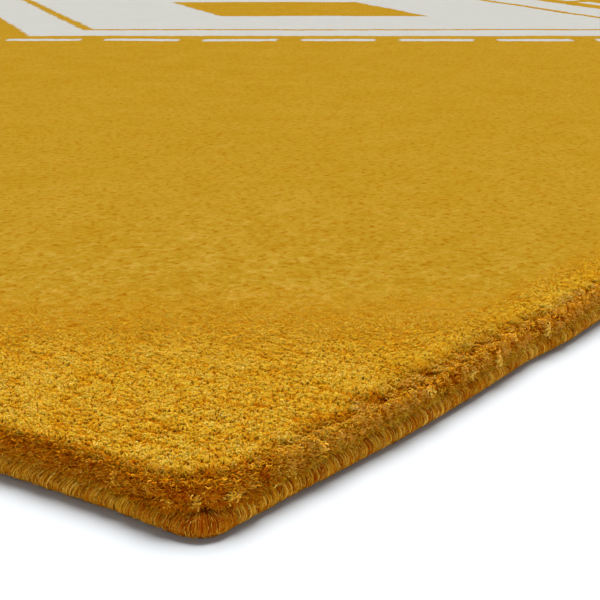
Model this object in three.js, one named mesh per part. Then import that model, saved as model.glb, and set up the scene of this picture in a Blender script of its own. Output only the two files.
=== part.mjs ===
// A flat wool rug: a cut-pile field with an overcast edge wound along each side.
// Millimetres, +Z up. The origin is the middle of the underside, X runs along the rug's length.

import * as THREE from "three";

// Driving dimensions of the rug
const LENGTH = 2400;
const WIDTH = 1700;
const PILE_TOP = 13.5;
const BINDING_HEIGHT = 5.6;
const BINDING_WIDTH = 6.9;
const GAP = 0.3;

// How far in from both sides the rounded corners have their centres
const BINDING_CENTRE = 8;
const PILE_CENTRE = 18;

// The rim wanders in gentle waves about this long
const WAVE_LENGTH = 520;

// Steps along the rim
const SIDE_STEP = 60;
const CORNER_STEPS = 6;

const MUSTARD_PILE = 0xc6921f;
const MUSTARD_YARN = 0xa8700f;

// The pile field's section, from the underside up the rim to the top. inset is measured inwards from the
// outer face of the overcast edge, and centre is where the row's corners turn.
const FIELD_SECTION = [
  { inset: BINDING_WIDTH + GAP, centre: BINDING_CENTRE, height: 0 },
  { inset: BINDING_WIDTH + GAP, centre: BINDING_CENTRE, height: BINDING_HEIGHT + GAP },
  { inset: 2.8, centre: PILE_CENTRE, height: BINDING_HEIGHT + GAP },
  { inset: 1.2, centre: PILE_CENTRE, height: 7.0 },
  { inset: 0.8, centre: PILE_CENTRE, height: 9.0 },
  { inset: 1.2, centre: PILE_CENTRE, height: 11.2 },
  { inset: 2.4, centre: PILE_CENTRE, height: 12.9 },
  { inset: 5.0, centre: PILE_CENTRE, height: PILE_TOP },
];

// The overcast edge's section, a rounded bead that is flat where it rests and where it meets the field
const BINDING_SECTION = [
  { inset: BINDING_WIDTH, height: 0 },
  { inset: BINDING_WIDTH, height: BINDING_HEIGHT - 0.4 },
  { inset: 4.6, height: BINDING_HEIGHT },
  { inset: 2.2, height: BINDING_HEIGHT - 0.4 },
  { inset: 0.6, height: 4.2 },
  { inset: 0, height: 2.6 },
  { inset: 0.4, height: 1.0 },
  { inset: 1.6, height: 0 },
].map((row) => ({ ...row, centre: BINDING_CENTRE }));

// The four sides, counter-clockwise seen from above. from is the corner that a side leaves, along is its
// direction, and wander is how far its rim strays outwards and inwards.
const SIDES = [
  { name: "front", from: [-1, -1], along: [1, 0], length: LENGTH, wander: 1.8 },
  { name: "right", from: [1, -1], along: [0, 1], length: WIDTH, wander: 0.6 },
  { name: "back", from: [1, 1], along: [-1, 0], length: LENGTH, wander: 1.8 },
  { name: "left", from: [-1, 1], along: [0, -1], length: WIDTH, wander: 0.6 },
];

// The sharp corner of the rug's outline that a side leaves.
function outlineCorner(side) {
  return new THREE.Vector2((side.from[0] * LENGTH) / 2, (side.from[1] * WIDTH) / 2);
}

// Stations of the rounded corner before a side, from one of its steps to another.
function cornerStations(side, firstStep, lastStep) {
  const sideTurn = Math.atan2(-side.along[0], side.along[1]);
  const inwards = new THREE.Vector2(-side.from[0], -side.from[1]);
  const stations = [];
  for (let step = firstStep; step <= lastStep; step += 1) {
    const turn = sideTurn - (1 - step / CORNER_STEPS) * (Math.PI / 2);
    const normal = new THREE.Vector2(Math.cos(turn), Math.sin(turn));
    stations.push({ point: outlineCorner(side), normal, inwards });
  }
  return stations;
}

// Stations along a straight side, between its corners. The rim wanders in whole waves, so that it
// leaves and enters each corner without a step.
function straightStations(side) {
  const steps = Math.round(side.length / SIDE_STEP);
  const waves = Math.round(side.length / WAVE_LENGTH);
  const along = new THREE.Vector2(...side.along);
  const normal = new THREE.Vector2(side.along[1], -side.along[0]);
  const stations = [];
  for (let step = 1; step < steps; step += 1) {
    const share = step / steps;
    const point = outlineCorner(side).addScaledVector(along, side.length * share);
    point.addScaledVector(normal, side.wander * Math.sin(2 * Math.PI * waves * share));
    stations.push({ point, normal });
  }
  return stations;
}

// The point of a section's row at a station. At a corner the row turns about its centre.
function placed(station, row) {
  const flat = station.point.clone();
  if (station.inwards) {
    flat.addScaledVector(station.inwards, row.centre);
    flat.addScaledVector(station.normal, row.centre - row.inset);
  } else {
    flat.addScaledVector(station.normal, -row.inset);
  }
  return new THREE.Vector3(flat.x, flat.y, row.height);
}

// A closed body skinned over a stack of loops with equal counts of points, each end closed by a fan
// about the middle of its loop. The loops turn counter-clockwise seen from the last one.
function skin(loops) {
  const count = loops[0].length;
  const points = loops.flat();
  const faces = [];
  for (let row = 0; row + 1 < loops.length; row += 1) {
    for (let i = 0; i < count; i += 1) {
      const next = (i + 1) % count;
      const low = row * count;
      const high = low + count;
      faces.push(low + i, low + next, high + next);
      faces.push(low + i, high + next, high + i);
    }
  }
  const middles = [loops[0], loops[loops.length - 1]].map((loop) =>
    loop.reduce((sum, p) => sum.add(p), new THREE.Vector3()).divideScalar(count),
  );
  const firstMiddle = points.length;
  const lastMiddle = firstMiddle + 1;
  const lastRow = (loops.length - 1) * count;
  for (let i = 0; i < count; i += 1) {
    const next = (i + 1) % count;
    faces.push(firstMiddle, next, i);
    faces.push(lastMiddle, lastRow + i, lastRow + next);
  }
  const geometry = new THREE.BufferGeometry().setFromPoints([...points, ...middles]);
  geometry.setIndex(faces);
  geometry.computeVertexNormals();
  return geometry;
}

function named(name, geometry, color, roughness) {
  const material = new THREE.MeshStandardMaterial({ color, roughness, metalness: 0 });
  const mesh = new THREE.Mesh(geometry, material);
  mesh.name = name;
  return mesh;
}

// The field: the whole rim's loop at each row of its section.
function makeField() {
  const rim = SIDES.flatMap((side) => [
    ...cornerStations(side, 0, CORNER_STEPS),
    ...straightStations(side),
  ]);
  const loops = FIELD_SECTION.map((row) => rim.map((station) => placed(station, row)));
  return named("pile_field", skin(loops), MUSTARD_PILE, 0.95);
}

// One side's overcast edge, from the middle of one corner to the middle of the next. Each end stops
// half a gap short of the middle, so that two runs meet face to face.
function makeBinding(side, nextSide) {
  const middle = CORNER_STEPS / 2;
  const stations = [
    ...cornerStations(side, middle, CORNER_STEPS),
    ...straightStations(side),
    ...cornerStations(nextSide, 0, middle),
  ];
  const ends = [
    { station: stations[0], forward: 1 },
    { station: stations[stations.length - 1], forward: -1 },
  ];
  for (const { station, forward } of ends) {
    const tangent = new THREE.Vector2(-station.normal.y, station.normal.x);
    station.point.addScaledVector(tangent, (forward * GAP) / 2);
  }
  const loops = stations.map((station) => BINDING_SECTION.map((row) => placed(station, row)));
  return named(`edge_binding_${side.name}`, skin(loops), MUSTARD_YARN, 0.9);
}

const rug = new THREE.Group();
rug.name = "wool_rug";
rug.add(makeField());
SIDES.forEach((side, i) => {
  rug.add(makeBinding(side, SIDES[(i + 1) % SIDES.length]));
});

export default rug;
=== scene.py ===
import itertools
import math

import bpy
import numpy as np
from mathutils import Matrix, Vector


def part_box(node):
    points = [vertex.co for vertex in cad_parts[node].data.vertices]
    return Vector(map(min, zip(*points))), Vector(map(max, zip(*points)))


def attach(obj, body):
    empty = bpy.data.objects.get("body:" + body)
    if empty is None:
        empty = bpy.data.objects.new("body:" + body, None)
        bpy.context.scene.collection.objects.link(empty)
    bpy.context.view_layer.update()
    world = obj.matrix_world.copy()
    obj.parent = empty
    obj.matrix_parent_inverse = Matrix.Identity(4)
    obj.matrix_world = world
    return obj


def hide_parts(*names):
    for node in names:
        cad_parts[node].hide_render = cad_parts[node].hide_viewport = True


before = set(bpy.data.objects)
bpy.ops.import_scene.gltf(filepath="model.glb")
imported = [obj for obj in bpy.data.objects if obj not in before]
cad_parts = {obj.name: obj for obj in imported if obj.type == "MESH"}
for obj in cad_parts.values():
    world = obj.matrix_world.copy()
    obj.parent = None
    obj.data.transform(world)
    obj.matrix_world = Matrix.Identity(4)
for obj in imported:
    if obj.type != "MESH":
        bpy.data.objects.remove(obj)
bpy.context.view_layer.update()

# All sizes are in millimetres unless their names say otherwise. MM turns them into Blender's metres.
MM = 0.001

# The rug, as in the CAD model
LENGTH = 2400
WIDTH = 1700
PILE_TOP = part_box("pile_field")[1].z / MM
BINDING_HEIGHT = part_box("edge_binding_front")[1].z / MM
BINDING_WIDTH = 6.9
BINDING_CENTRE = 8
PILE_CENTRE = 18
WAVE_LENGTH = 520

# How long a rounded corner is along the pile's outline, and along the overcast edge's
PILE_ARC = PILE_CENTRE * math.pi / 2
BINDING_ARC = BINDING_CENTRE * math.pi / 2

# The four sides, counter-clockwise seen from above, from the corner that the camera sees
SIDES = [
    {"name": "front", "from": (-1, -1), "along": (1, 0), "length": LENGTH, "wander": 1.8},
    {"name": "right", "from": (1, -1), "along": (0, 1), "length": WIDTH, "wander": 0.6},
    {"name": "back", "from": (1, 1), "along": (-1, 0), "length": LENGTH, "wander": 1.8},
    {"name": "left", "from": (-1, 1), "along": (0, -1), "length": WIDTH, "wander": 0.6},
]
NEAR_CORNER = np.array([-LENGTH / 2, -WIDTH / 2])

# The camera of the photo, a pinhole fitted to the rug's two edges. Pixels are those of a 600 x 600 picture.
PICTURE = 600
FOCAL_PIXELS = 1389
SENSOR_WIDTH = 36
CAMERA_PITCH = math.radians(16.07)
CAMERA_HEADING = math.radians(35.76)
CORNER_PIXEL = (204.8, 548.0)
CORNER_SCALE = 0.23
NEAREST_SEEN_M = 0.01
FARTHEST_SEEN_M = 100
HEADING = np.array([math.cos(CAMERA_HEADING), math.sin(CAMERA_HEADING)])
ACROSS = np.array([math.sin(CAMERA_HEADING), -math.cos(CAMERA_HEADING)])

# The rolled rim of the pile: an ellipse of this exponent about a centre line inside the rim. Its angles are
# in degrees from level. The field's foot stands behind the overcast edge.
ROLL_INSET = 5.5
ROLL_REACH = 4.7
ROLL_BOTTOM = BINDING_HEIGHT + 0.4
ROLL_EXPONENT = 2.8
ROLL_ANGLES = [-62, -48, -34, -21, -8, 5, 18, 31, 44, 56, 68, 79, 90]
FLAT_INSETS = [7.0, 9.0, 11.2, 13.5, 15.8]
TUCK_INSET = BINDING_WIDTH + 0.4

# How far the rim's foot hangs down over the overcast edge, at distances along the rim from the near corner
FOOT_DROOPS = [
    (-200, 0.8), (-60, 1.1), (-12, 1.2), (0, 1.8), (28, 1.8), (55, 1.0), (105, 1.0), (150, 2.0),
    (240, 2.2), (330, 0.8),
]

# How ragged that foot is: the strength, lump width and seed of its noise, and where along the front it
# starts and stops
FOOT_NOISE = (1.3, 6.0, 19)
FOOT_NOISE_START = (5, 40)
FOOT_NOISE_STOP = (260, 330)

# How far in from the rim the pile leans outwards and falls away, at the same distances
SPLAY_WIDTHS = [
    (-200, 5.0), (-40, 5.5), (0, 7.5), (14, 9.5), (60, 9.0), (110, 12.0), (165, 11.0), (215, 7.0),
    (330, 5.0),
]
SPLAY_DROP = 1.3

# How far the near sides stray outwards from their even run, at distances from the middle of the near corner
EDGE_STRAYS = [
    (-110, 0.0), (-58, -0.4), (-28, -0.8), (-10, 0.2), (5, 0.2), (35, 0.0), (50, 0.6), (80, 1.1),
    (103, 0.9), (122, 0.3), (142, -0.4), (161, -1.2), (178, 0.0), (190, 0.4), (214, -0.4), (330, 0.0),
]

# The relief of the sheared pile: the strength, lump width and seed of each noise. SWELLS lie all over the
# rug and LUMPS where its net is fine, up to these distances from the near corner along X and along Y.
SWELLS = [(0.30, 95, 11), (0.22, 34, 12)]
LUMPS = [(0.22, 7.5, 13), (0.12, 3.4, 14)]
CLUMP_SWELL = 1.1
RELIEF_SINK = 0.30
FINE_NET = [(190, 300), (150, 260)]

# The net over the rug's top: its finest and coarsest step, how far from the near corner it stays fine, and
# the steps round the near corner and round the others
NET_STEPS = (2.1, 17)
NET_REACH = (240, 200)
NEAR_CORNER_STEPS = 22
CORNER_STEPS = 7

# The pile is calmer further from the near corner, and half as lively at this distance
HALF_LIVELY = 135

# The pile near the camera's corner is made of single locks, which stand on a sunken ground. Distances are
# measured from the corner, along the camera's heading.
LOCK_SINK = 0.9
LOCK_FULL = 70
LOCK_END = 190
LOCKS_PER_SQUARE_MM = 4.6
RIM_LOCKS_PER_SQUARE_MM = 4.2
LOCKS_A_PIECE = 49000
TUFT_PITCH = 3.3
ROW_HOLLOW = (1.3, 4.5)

# How far to the sides of the camera's heading the locks reach: their middle, their half width at the
# corner, its growth with the distance, and over how much they thin out
LOCK_MIDDLE = 20
LOCK_HALF_WIDTH = 75
LOCK_WIDENING = 0.22
LOCK_THINNING = 25

# How far along the left side and the front the rim has locks, strands and curls
LEFT_REACH = 125
FRONT_REACH = 330

# Clumps and tufts of pile on the rim: how wide they are along it, and how tall
CLUMP_SIZE = (7.5, 15)
TUFT_SIZE = (2.7, 3.2)

# How deep curled ends and loose tufts are rooted in the pile
CURL_SINK = 0.5
TUFT_SINK = 0.4

# Loose tufts: the distance along the rim, the angle on its roll, the length and the tone of each
LOOSE_TUFTS = [
    (150.5, -12, 2.6, 1.10), (169.0, -30, 2.4, 1.15), (185.5, -8, 2.4, 1.15), (164.0, 30, 1.8, 1.05),
    (134.0, -20, 1.8, 1.10), (109.0, 5, 1.8, 1.05), (57.5, -9, 2.4, 1.00), (45.0, -25, 2.2, 1.00),
    (38.5, -51, 2.8, 0.95), (29.5, -58, 4.6, 0.75), (22.0, -10, 1.8, 0.95), (13.0, -5, 1.8, 0.95),
    (6.0, -15, 1.6, 0.90), (-12.0, -5, 1.4, 0.90),
]

# The overcast edge: an ellipse about the middle of the bead. Angles are in degrees from level. Its single
# strands fade into the plain bead over STRAND_FADE, and lean as far along the edge as STRAND_LEANS says.
BEAD_MIDDLE = (4.6, 2.6)
BEAD_REACH = (4.6, 3.0)
BEAD_ANGLES = [122, 100, 78, 56, 34, 12, -10, -32, -50]
STRAND_ANGLES = np.array([126, 108, 90, 72, 54, 36, 18, 0, -20, -42])
STRAND_RADIUS = (0.22, 0.27)
STRAND_PITCH = 0.42
STRAND_FADE = 6
BUNDLE_LENGTH = 8.6
RUN_CLEARANCE = 0.2
STRAND_LEANS = [(-40, 4.6), (-8, 2.6), (10, 0.6), (330, 0.8)]

# The light: a soft source above and beyond the rug, as the photo's camera sees it, and a weak low one on
# the camera's side
KEY_RISE = math.radians(54.5)
KEY_SPREAD = math.radians(40)
KEY_ENERGY = 6.35
FILL_HEADING = math.radians(225)
FILL_RISE = math.radians(6)
FILL_SPREAD = math.radians(12)
FILL_ENERGY = 2.35
SKY_STRENGTH = 0.15
FLOOR_COLOR = (0.550, 0.570, 0.586)
FLOOR_REACH_M = 20

# The wool's colours from the roots of the pile to the cut tips, linear. The dark, red root end is painted
# shade deep in the wool.
WOOL_STOPS = [
    (0.0, (0.235, 0.036, 0.001)),
    (0.35, (0.400, 0.124, 0.003)),
    (0.60, (0.487, 0.226, 0.007)),
    (0.80, (0.560, 0.322, 0.022)),
    (1.0, (0.715, 0.455, 0.078)),
]

# What the wool's colour is multiplied by where it faces sideways or lies in creases, gaps and hollows:
# painted reddish light from other wool, in the shade. Also where its dye is a little more orange or cooler,
# and where a speck shows, painted shade of a gap between tufts.
WARM = (1.11, 0.67, 0.38)
ORANGE_DYE = (1.10, 0.86, 0.60)
COOL_DYE = (0.93, 1.03, 1.0)
GAP_SHADE_SPECK = (0.85, 0.64, 0.32)

# What each kind of wool's colour is multiplied by. The ground's is darker, for it has no locks to shade it.
# Locks far from the near corner take FADED_SHADE as well.
LOCK_SHADE = (0.655, 0.69, 0.74)
# The curls' is lighter than the locks': painted light on wool that stands out of the rim.
CURL_SHADE = (0.95, 0.95, 0.95)
GROUND_SHADE = (0.551, 0.543, 0.475)
STRAND_SHADE = (0.80, 0.80, 0.80)
FADED_SHADE = (0.93, 1.05, 1.40)

# Wool's finish, and how far light gets through locks and curls: a share for red, green and blue of a depth
ROUGHNESS = 0.95
GLOW_RADIUS = (1.0, 0.45, 0.10)
GLOW_DEPTH = 0.55
LOCK_GLOW = 0.6
CURL_GLOW = 0.8

# The design, in metres: a cream lozenge with a thin line and an open middle, and a row of dashes round it
CREAM = (0.34, 0.335, 0.31)
LOZENGE_HALF = 0.36
LOZENGE_LINE = (0.286, 0.298)
LOZENGE_MIDDLE = 0.115
DASH_BAND = (0.392, 0.412)
DASH_PITCH = 0.095
DASH_GAP = 0.012
DESIGN_RAGGED = 0.016
DESIGN_SOFT = 0.0016

# Large odd numbers that mix the bits of a hash
HASH_PRIMES = (73856093, 19349663, 83492791)
SEED_MIXER = 2654435761
ROW_MIXER = 1274126177
LAST_MIXER = 2246822519


def hashed(rows, seed):
    """A number from 0 to 1 for each row of whole numbers, the same in each run."""
    mixed = np.full(rows.shape[:-1], (seed * SEED_MIXER + 97) % 2**32, np.uint32)
    for axis, prime in zip(range(rows.shape[-1]), HASH_PRIMES):
        mixed = mixed ^ (rows[..., axis].astype(np.int64).astype(np.uint32) * np.uint32(prime))
        mixed = (mixed ^ (mixed >> np.uint32(13))) * np.uint32(ROW_MIXER)
    mixed = (mixed ^ (mixed >> np.uint32(16))) * np.uint32(LAST_MIXER)
    return (mixed ^ (mixed >> np.uint32(15))) / 2**32


def noise(points, size, seed):
    """Smooth noise from -1 to 1 at each point, in lumps of about the given size."""
    scaled = points / size
    low = np.floor(scaled)
    part = scaled - low
    part = part * part * (3 - 2 * part)
    total = np.zeros(len(points))
    for corner in itertools.product((0, 1), repeat=points.shape[1]):
        share = np.prod(np.where(np.array(corner) == 1, part, 1 - part), axis=1)
        total += share * hashed(low + np.array(corner), seed)
    return total * 2 - 1


def cells(places, seed):
    """The cells of an uneven lattice of unit pitch that places lie in.

    Gives the way to the cell's middle, how far off the next cell's border is, and a number from 0 to 1 for
    the cell and one for its border.
    """
    steps = np.array(list(itertools.product((-1, 0, 1), repeat=2)))
    nearby = np.floor(places) + steps[:, None]
    jitter = np.stack([hashed(nearby, seed), hashed(nearby, seed + 1)], axis=-1)
    ways = nearby + 0.5 + 0.42 * (jitter * 2 - 1) - places
    spans = np.linalg.norm(ways, axis=-1)
    first, second = np.argsort(spans, axis=0)[:2]
    here = np.arange(len(places))
    border = spans[second, here] - spans[first, here]
    own = hashed(nearby[first, here], seed + 2)
    shared = hashed(nearby[first, here] + nearby[second, here], seed + 3)
    return ways[first, here], border, own, shared


def smooth_step(value, start, end):
    """0 before start, 1 after end, and smooth between."""
    share = np.clip((value - start) / (end - start), 0, 1)
    return share * share * (3 - 2 * share)


def between(value, rise, fall):
    """0 before the rise, 1 between the rise and the fall, and 0 after the fall, each a (start, end)."""
    return smooth_step(value, *rise) * (1 - smooth_step(value, *fall))


def looked_up(distance, table):
    """The value at each distance, from a table of (distance, value)."""
    return np.interp(distance, *np.array(table).T)


def unit(vectors):
    return vectors / np.maximum(np.linalg.norm(vectors, axis=-1, keepdims=True), 1e-9)


def rim_length(centre):
    return sum(side["length"] - 2 * centre for side in SIDES) + 2 * math.pi * centre


def side_frame(side, centre):
    """A side's direction and outward direction in plan, the hub of the corner that it leaves, and how long
    its straight run is."""
    along = np.array(side["along"], float)
    normal = np.array([along[1], -along[0]])
    hub = np.array(side["from"], float) * (LENGTH / 2 - centre, WIDTH / 2 - centre)
    return along, normal, hub, side["length"] - 2 * centre


def wander(side, passed, run):
    """How far a side's rim strays outwards, at distances passed along its straight run."""
    waves = round(side["length"] / WAVE_LENGTH)
    return side["wander"] * np.sin(2 * math.pi * waves * passed / run)


def rim_at(distance, centre):
    """The rim in plan at distances along it, counter-clockwise from the start of the near corner.

    Gives the hub, which lies in from the outline by centre, and the outward direction.
    """
    distance = np.mod(distance, rim_length(centre))
    hub = np.zeros((len(distance), 2))
    outward = np.zeros((len(distance), 2))
    arc = centre * math.pi / 2
    start = 0
    for side in SIDES:
        along, normal, corner_hub, run = side_frame(side, centre)
        on_arc = (distance >= start) & (distance < start + arc)
        turn = math.atan2(normal[1], normal[0]) - math.pi / 2 + (distance[on_arc] - start) / centre
        hub[on_arc] = corner_hub
        outward[on_arc] = np.stack([np.cos(turn), np.sin(turn)], axis=1)
        on_run = (distance >= start + arc) & (distance < start + arc + run)
        passed = distance[on_run] - start - arc
        hub[on_run] = corner_hub + np.outer(passed, along) + np.outer(wander(side, passed, run), normal)
        outward[on_run] = normal
        start += arc + run
    from_middle = near_distance(distance, centre) - arc / 2
    hub += outward * looked_up(from_middle, EDGE_STRAYS)[:, None]
    return hub, outward


def rim_points(distance, centre, inset, height):
    """Points at an inset from the rim's outline and at a height."""
    hub, outward = rim_at(distance, centre)
    flat = hub + outward * (centre - np.asarray(inset))[..., None]
    return np.column_stack([flat, np.broadcast_to(height, len(flat))])


def near_distance(distance, centre):
    """Distances along the rim as signed ones, from the start of the near corner."""
    total = rim_length(centre)
    return np.mod(distance + total / 2, total) - total / 2


def roll_profile(angle, distance):
    """The rolled rim at an angle in degrees from level: its inset and height, and the way it faces."""
    turn = np.radians(angle)
    power = 2 / ROLL_EXPONENT
    signed = near_distance(distance, PILE_CENTRE)
    strength, lump, seed = FOOT_NOISE
    uneven = between(signed, FOOT_NOISE_START, FOOT_NOISE_STOP)
    droop = looked_up(signed, FOOT_DROOPS) + strength * uneven * noise(signed[:, None], lump, seed)
    bottom = ROLL_BOTTOM - droop
    middle = (PILE_TOP + bottom) / 2
    rise = (PILE_TOP - bottom) / 2
    out = np.abs(np.cos(turn)) ** power
    up = np.sign(np.sin(turn)) * np.abs(np.sin(turn)) ** power
    steep_out = out ** (ROLL_EXPONENT - 1) / ROLL_REACH
    steep_up = np.sign(up) * np.abs(up) ** (ROLL_EXPONENT - 1) / rise
    steep = unit(np.stack([steep_out, steep_up], axis=-1))
    _, outward = rim_at(distance, PILE_CENTRE)
    facing = np.column_stack([outward * steep[:, :1], steep[:, 1]])
    return ROLL_INSET - ROLL_REACH * out, middle + rise * up, facing


def roll_points(angle, distance):
    """Points on the rolled rim, and the way it faces there."""
    inset, height, facing = roll_profile(angle, distance)
    return rim_points(distance, PILE_CENTRE, inset, height), facing


def depth_of(points):
    """How far points lie from the near corner along the camera's heading."""
    return (points[:, :2] - NEAR_CORNER) @ HEADING


def lock_share(points):
    """1 where the pile is all single locks, 0 where it has none."""
    offset = (points[:, :2] - NEAR_CORNER) @ ACROSS
    depth = depth_of(points)
    aside = np.abs(offset - LOCK_MIDDLE) - (LOCK_HALF_WIDTH + LOCK_WIDENING * depth)
    share = (1 - smooth_step(depth, LOCK_FULL, LOCK_END)) * (1 - smooth_step(aside, 0, LOCK_THINNING))
    inset, distance = near_rim(points)
    in_view = between(distance, (-LEFT_REACH, 40 - LEFT_REACH), (FRONT_REACH - 80, FRONT_REACH - 5))
    return np.maximum(share, in_view * (1 - smooth_step(inset, 8, 30)))


def liveliness(points):
    """How uneven the pile is at each point: 1 at the near corner, and calmer further off."""
    return 1 / (1 + (np.maximum(depth_of(points), 0) / HALF_LIVELY) ** 2)


def detail_share(points):
    """1 where the field's net is fine enough to carry small lumps, 0 where it is coarse."""
    x, y = (points[:, :2] - NEAR_CORNER).T
    return (1 - smooth_step(x, *FINE_NET[0])) * (1 - smooth_step(y, *FINE_NET[1]))


def near_rim(points):
    """How far in from the rim points of the rug's top lie, and how far along it from the near corner."""
    x, y = (points[:, :2] - (NEAR_CORNER + PILE_CENTRE)).T
    corner = (x < 0) & (y < 0)
    turn = np.arctan2(-y, -x)
    inset = PILE_CENTRE + np.minimum(x, y)
    inset = np.where(corner, PILE_CENTRE - np.hypot(x, y), inset)
    distance = np.where(corner, PILE_CENTRE * turn, np.where(x > y, PILE_ARC + x, -y))
    return inset, distance


def splay(points):
    """How strongly the pile leans outwards at each point, from 0 inside the rug to 1 at its rim."""
    inset, distance = near_rim(points)
    width = looked_up(distance, SPLAY_WIDTHS) + 1.2 * noise(points, 8.0, 15)
    width += 3.0 * smooth_step(distance, 0, 25) * noise(distance[:, None], 5.2, 18)
    near = 1 - smooth_step(inset, 0.35 * width, 1.15 * width)
    far_inset = np.minimum(LENGTH / 2 - np.abs(points[:, 0]), WIDTH / 2 - np.abs(points[:, 1]))
    return np.maximum(near, 1 - smooth_step(far_inset, 2.0, 6.0))


def clumps(points):
    """From about -1 in the creases between the rim's clumps of pile to 1 on their tufts."""
    inset, distance = near_rim(points)
    over = smooth_step(points[:, 2], (ROLL_BOTTOM + PILE_TOP) / 2, PILE_TOP)
    girth = points[:, 2] + over * np.maximum(inset - (ROLL_INSET - ROLL_REACH), 0)
    places = np.column_stack([distance + 0.3 * girth, girth])
    _, border, own, shared = cells(places / CLUMP_SIZE, 26)
    crease = np.exp(-(border / 0.16) ** 2) * smooth_step(shared, 0.15, 0.7)
    clump = 0.3 * smooth_step(border, 0.1, 0.6) + 0.45 * (own - 0.5) - 1.2 * crease
    _, border, own, _ = cells(places / TUFT_SIZE, 36)
    tuft = 0.35 * smooth_step(border, 0.0, 0.6) + 0.6 * (own - 0.5)
    front = smooth_step(distance, -10, 25)
    value = clump * (0.40 + 0.60 * front) + tuft * (0.85 + 0.15 * front)
    return value * (1 - smooth_step(girth, 13.5, 24)) * detail_share(points)


def shaded_side(points, facing):
    """How much the pile turns away from the light, how reddish that and the creases between clumps make it,
    as painted shade, and how far along the front it lies, all from 0 to 1."""
    _, distance = near_rim(points)
    front = smooth_step(distance, 5, 60)
    leaning = splay(points) * (0.7 - 0.35 * front)
    side = np.maximum(leaning, 1 - smooth_step(facing[:, 2], 0.55, 0.99))
    hollow = np.clip(-1.5 * clumps(points), 0, 1)
    warm = side * (1 - 0.05 * front * (1 - hollow)) + (0.6 + 0.3 * front) * hollow
    return side, np.clip(warm, 0, 1), front


def lumpy(points, kinds):
    """Noises of several kinds added up, each given by its strength, lump width and seed."""
    return sum(strength * noise(points, width, seed) for strength, width, seed in kinds)


def relief(points):
    """How far the pile's surface swells outwards or sinks at each point."""
    fallen = SPLAY_DROP * splay(points) ** 2 * smooth_step(points[:, 2], 8.5, PILE_TOP)
    swell = lumpy(points, SWELLS) + detail_share(points) * lumpy(points, LUMPS)
    return swell + CLUMP_SWELL * clumps(points) - RELIEF_SINK - fallen


def raised(points, facing, sink):
    """Points of the smooth pile moved out along facing by its relief, less a sink."""
    return points + facing * (relief(points) - sink)[:, None]


def new_mesh(name, points, face_groups, material, normals=None, **shades):
    """A mesh object of points in millimetres. Each face group is an array of faces with equal corners, and
    shades are numbers for each point that its material reads by name."""
    mesh = bpy.data.meshes.new(name)
    mesh.from_pydata((points * MM).tolist(), [], [face for group in face_groups for face in group.tolist()])
    mesh.validate()
    mesh.shade_smooth()
    if normals is not None:
        mesh.normals_split_custom_set_from_vertices(normals.tolist())
    for key, values in shades.items():
        attribute = mesh.attributes.new(key, "FLOAT", "POINT")
        attribute.data.foreach_set("value", np.asarray(values, np.float32).ravel())
    mesh.materials.append(material)
    piece = bpy.data.objects.new(name, mesh)
    bpy.context.collection.objects.link(piece)
    return piece


def graded(length, reach, fine, coarse):
    """Places from 0 to length, fine up to reach and then wider and wider apart, up to coarse."""
    places = [0.0]
    step = fine
    while places[-1] < length:
        if places[-1] > reach:
            step = min(step * 1.07, coarse)
        places.append(places[-1] + step)
    return np.array(places) * (length / places[-1])


def strayed(points):
    """Points on the rug's top, moved with the rim's wander, less and less towards the middle."""
    moved = points.copy()
    for side in SIDES:
        along, normal, corner, run = side_frame(side, PILE_CENTRE)
        depth = WIDTH if side["length"] == LENGTH else LENGTH
        passed = np.clip((points[:, :2] - corner) @ along, 0, run)
        share = np.clip(1 - (corner - points[:, :2]) @ normal / depth, 0, 1)
        moved[:, :2] += (wander(side, passed, run) * share ** 3)[:, None] * normal
    inset, distance = near_rim(points)
    stray = looked_up(distance - PILE_ARC / 2, EDGE_STRAYS) * (1 - smooth_step(inset, 15, 70))
    moved[:, :2] += rim_at(distance, PILE_CENTRE)[1] * stray[:, None]
    return moved


def ring_faces(rows, count):
    """Faces between stacked closed rings of count points each."""
    low = np.arange(rows - 1)[:, None] * count
    place = np.arange(count)
    after = (place + 1) % count
    return np.stack([low + place, low + after, low + count + after, low + count + place], -1).reshape(-1, 4)


def upwards(count):
    """As many directions straight up as count."""
    return np.tile([0.0, 0.0, 1.0], (count, 1))


def net_border(across, upward):
    """Distances along the rim, counter-clockwise, and the point that each faces on the border of the net
    over the rug's top."""
    numbers = np.arange(len(across) * len(upward)).reshape(len(across), -1)
    runs = [across, upward, across[-1] - across[::-1], upward[-1] - upward[::-1]]
    edges = [numbers[:, 0], numbers[-1], numbers[::-1, -1], numbers[0, ::-1]]
    distances, faced = [], []
    start = 0
    for side, run, edge in zip(SIDES, runs, edges):
        steps = NEAR_CORNER_STEPS if side["name"] == "front" else CORNER_STEPS
        turns = np.arange(1, steps) / steps * PILE_ARC
        distances += [*(start + turns), *(start + PILE_ARC + run)]
        faced += [edge[0]] * (steps - 1) + [*edge]
        start += PILE_ARC + run[-1]
    return np.array(distances), np.array(faced)


def rim_rings(distances):
    """Rings of points up the field's foot, over its roll and a little way in, and the way each faces."""
    count = len(distances)
    heights = [0, BINDING_HEIGHT / 2, BINDING_HEIGHT]
    foot = np.full(count, TUCK_INSET)
    rings = [(rim_points(distances, PILE_CENTRE, foot, height), np.zeros((count, 3))) for height in heights]
    rings += [roll_points(np.full(count, float(angle)), distances) for angle in ROLL_ANGLES]
    for inset in FLAT_INSETS:
        ring = rim_points(distances, PILE_CENTRE, np.full(count, inset), PILE_TOP)
        rings.append((ring, upwards(count)))
    return rings


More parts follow.
